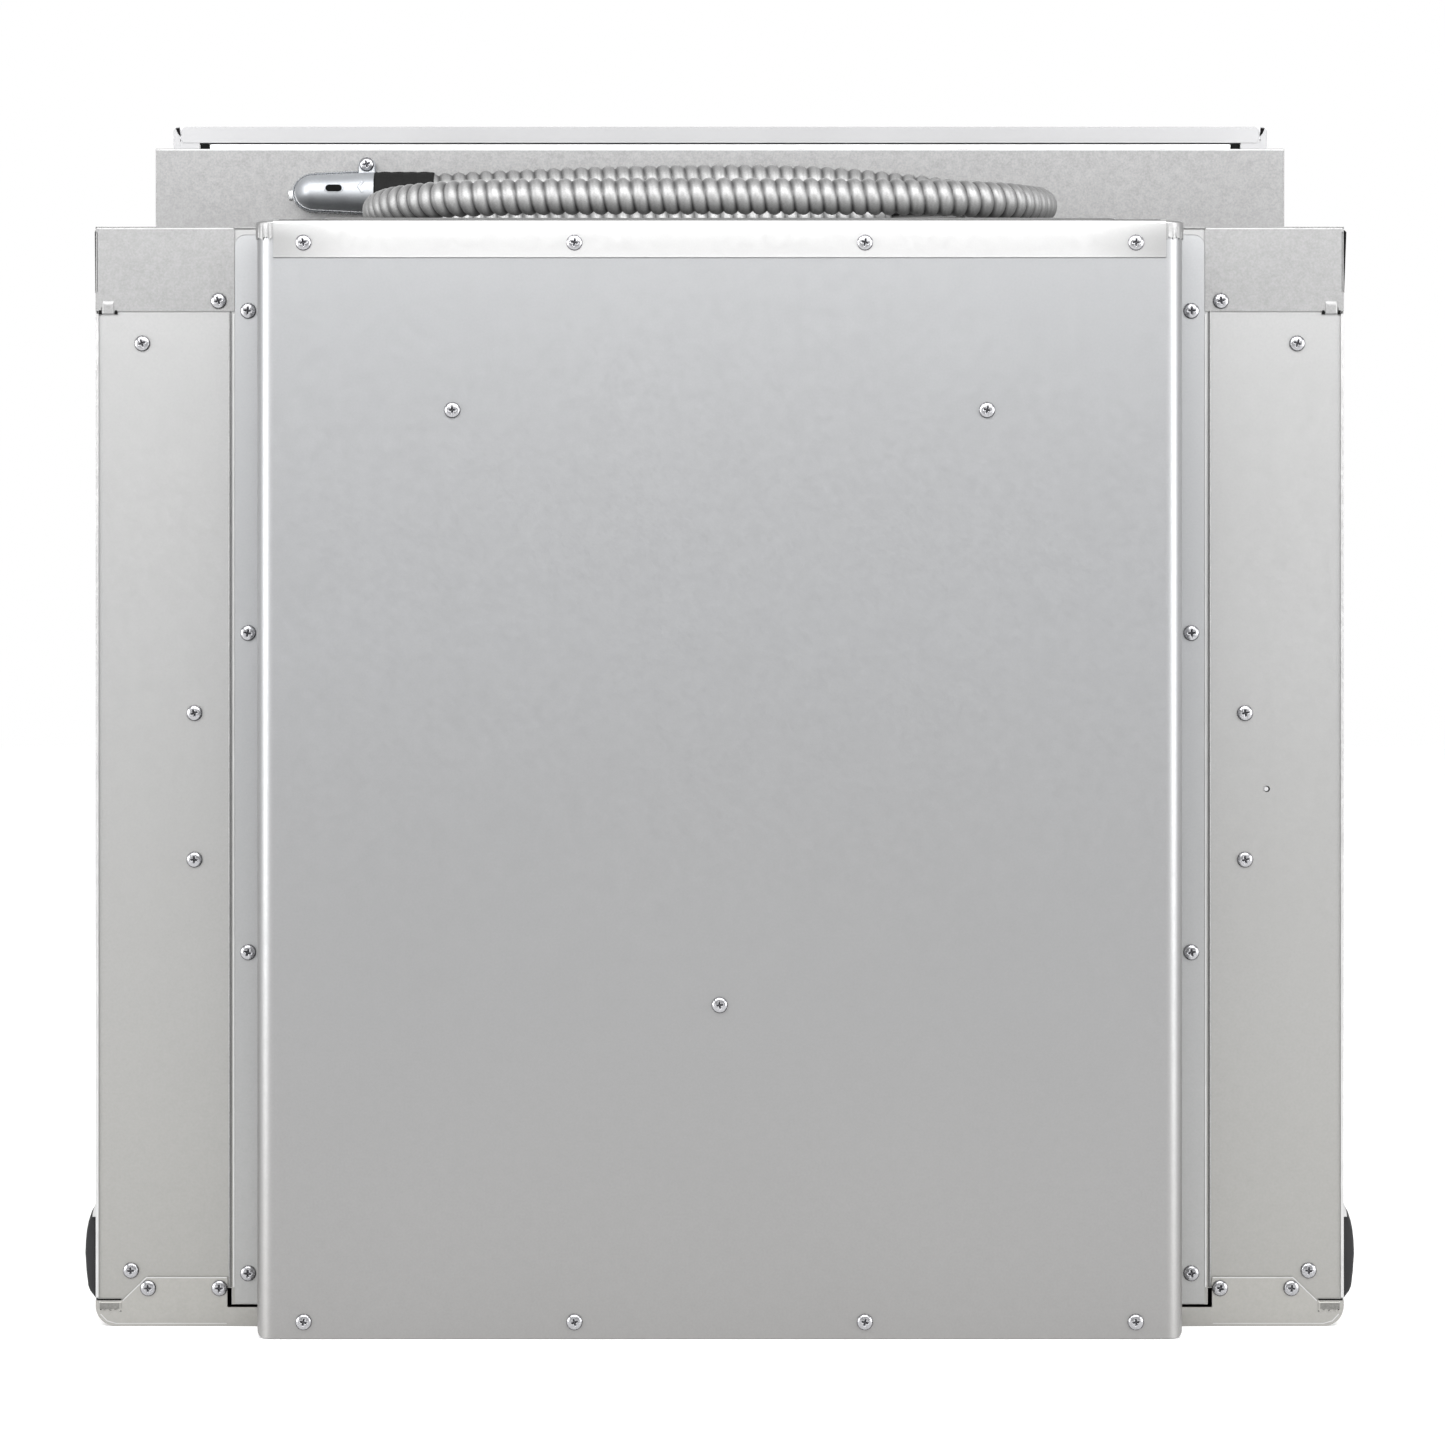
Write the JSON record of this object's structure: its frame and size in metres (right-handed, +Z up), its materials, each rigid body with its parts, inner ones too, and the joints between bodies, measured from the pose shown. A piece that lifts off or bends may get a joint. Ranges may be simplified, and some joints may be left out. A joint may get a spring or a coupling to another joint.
{
  "type": "built-in single electric wall oven",
  "caption": "Built-in electric wall oven with a drop-down door, wire racks, fans, a raised rear cover and a flexible metal supply conduit coiled on its deck.",
  "frame": {"origin": "bottom centre of the whole oven, without the loose conduit", "axes": "+Z up; -Y is the front, where the door is; +Y is the back; +X is to the right when facing the front"},
  "size_m": [0.756, 0.6918, 0.742],
  "materials": {
    "cover_steel": "zinc-coated sheet, fine satin grain",
    "galvanised_steel": "zinc-coated sheet, fine spangle, satin",
    "base_steel": "zinc-coated sheet, slightly warm, satin",
    "frame_steel": "plain bright steel, satin",
    "fascia_enamel": "smooth pale enamel, semi-gloss",
    "screw_zinc": "bright zinc plate",
    "display": "dark glass, gloss",
    "board": "green solder mask",
    "knob_plastic": "dark moulded plastic, satin",
    "terminal_plastic": "ivory thermoset",
    "blower_steel": "plain zinc-coated sheet",
    "wheel_aluminium": "bare aluminium, satin",
    "motor_steel": "lacquered lamination and can",
    "trim_black": "black satin paint",
    "cavity_enamel": "dark speckled vitreous enamel, gloss",
    "glass_wool": "glass-wool slab",
    "element_sheath": "dark oxidised alloy sheath",
    "rack_wire": "bright plated wire",
    "lamp_glass": "clear glass",
    "window_glass": "tinted heat-reflecting glass",
    "gasket_weave": "woven glass-fibre sleeve",
    "handle_metal": "brushed, satin",
    "switch_plastic": "dark thermoset",
    "plunger_plastic": "pale thermoset",
    "bumper_plastic": "black moulded plastic, matte",
    "connector_zinc": "zinc-plated stamping, bluish",
    "sleeve_black": "matte black sleeve",
    "conduit_metal": "satin interlocked aluminium strip",
    "bushing_plastic": "red moulded plastic",
    "lead_insulation": "insulated copper leads"
  },
  "bodies": {
    "chassis": {"rear_cover": "cover_steel", "back_panel": "galvanised_steel", "top_deck": "galvanised_steel", "side_panel_left": "galvanised_steel", "side_panel_right": "galvanised_steel", "control_box": "galvanised_steel", "base_pan": "base_steel", "front_frame": "frame_steel", "hinge_receivers": "frame_steel", "control_fascia": "fascia_enamel", "cover_screws": "screw_zinc", "panel_screws": "screw_zinc", "connector_screw": "screw_zinc", "display_glass": "display", "control_board": "board", "power_board": "board", "terminal_block": "terminal_plastic", "blower_housing": "blower_steel", "lamp_housing": "blower_steel", "blower_motor": "motor_steel", "fan_motor": "motor_steel", "latch_motor": "motor_steel", "vent_trim": "trim_black", "bottom_trim": "trim_black", "cavity_liner": "cavity_enamel", "fan_baffle": "cavity_enamel", "insulation_blankets": "glass_wool", "insulation_back": "glass_wool", "bake_element": "element_sheath", "broil_element": "element_sheath", "convection_element": "element_sheath", "rack_guide_left": "rack_wire", "rack_guide_right": "rack_wire", "temperature_sensor": "rack_wire", "lamp_bulb": "lamp_glass", "lamp_lens": "lamp_glass", "door_switch": "switch_plastic", "side_handles": "bumper_plastic", "conduit_connector": "connector_zinc", "conduit_sleeve": "sleeve_black", "conduit": "conduit_metal", "conduit_bushing": "bushing_plastic", "supply_leads": "lead_insulation"},
    "door": {"door_skin": "fascia_enamel", "door_glass_outer": "window_glass", "door_liner": "cavity_enamel", "door_glass_inner": "window_glass", "door_gasket": "gasket_weave", "door_handle": "handle_metal", "handle_posts": "handle_metal", "hinge_arms": "frame_steel"},
    "rack_upper": {"rack_upper": "rack_wire"},
    "rack_lower": {"rack_lower": "rack_wire"},
    "convection_fan": {"fan_wheel": "wheel_aluminium"},
    "cooling_wheel": {"blower_wheel": "wheel_aluminium"},
    "function_knob": {"knob_function": "knob_plastic"},
    "temperature_knob": {"knob_temperature": "knob_plastic"},
    "latch": {"latch_hook": "frame_steel"},
    "door_plunger": {"switch_plunger": "plunger_plastic"}
  },
  "joints": [
    {"name": "door_hinge", "type": "hinge", "parent": "chassis", "child": "door", "pos_m": [0, -0.26895, 0.04], "axis": [1, 0, 0], "range_deg": [0, 90], "stiffness_Nm_per_rad": 18, "springref_deg": -14.32},
    {"name": "rack_upper_slide", "type": "slide", "parent": "chassis", "child": "rack_upper", "axis": [0, -1, 0], "range_m": [0, 0.33]},
    {"name": "rack_lower_slide", "type": "slide", "parent": "chassis", "child": "rack_lower", "axis": [0, -1, 0], "range_m": [0, 0.33]},
    {"name": "convection_fan_spin", "type": "hinge", "parent": "chassis", "child": "convection_fan", "pos_m": [0, 0.20695, 0.315], "axis": [0, 1, 0], "continuous": true},
    {"name": "cooling_wheel_spin", "type": "hinge", "parent": "chassis", "child": "cooling_wheel", "pos_m": [0, -0.06795, 0.6715], "axis": [1, 0, 0], "continuous": true},
    {"name": "function_knob_turn", "type": "hinge", "parent": "chassis", "child": "function_knob", "pos_m": [0.23, -0.29595, 0.684], "axis": [0, 1, 0], "range_deg": [0, 300]},
    {"name": "temperature_knob_turn", "type": "hinge", "parent": "chassis", "child": "temperature_knob", "pos_m": [-0.23, -0.29595, 0.684], "axis": [0, 1, 0], "range_deg": [0, 300]},
    {"name": "latch_turn", "type": "hinge", "parent": "chassis", "child": "latch", "pos_m": [-0.058, -0.22195, 0.581], "axis": [0, 0, 1], "range_deg": [0, 16]},
    {"name": "plunger_slide", "type": "slide", "parent": "chassis", "child": "door_plunger", "axis": [0, -1, 0], "range_m": [0, 0.005]}
  ],
  "couplings": [
    {"joint": "rack_upper_slide", "follows": "door_hinge", "m_per_rad": 0.21},
    {"joint": "rack_lower_slide", "follows": "door_hinge", "m_per_rad": 0.21},
    {"joint": "plunger_slide", "follows": "door_hinge", "m_per_rad": 0.003}
  ]
}
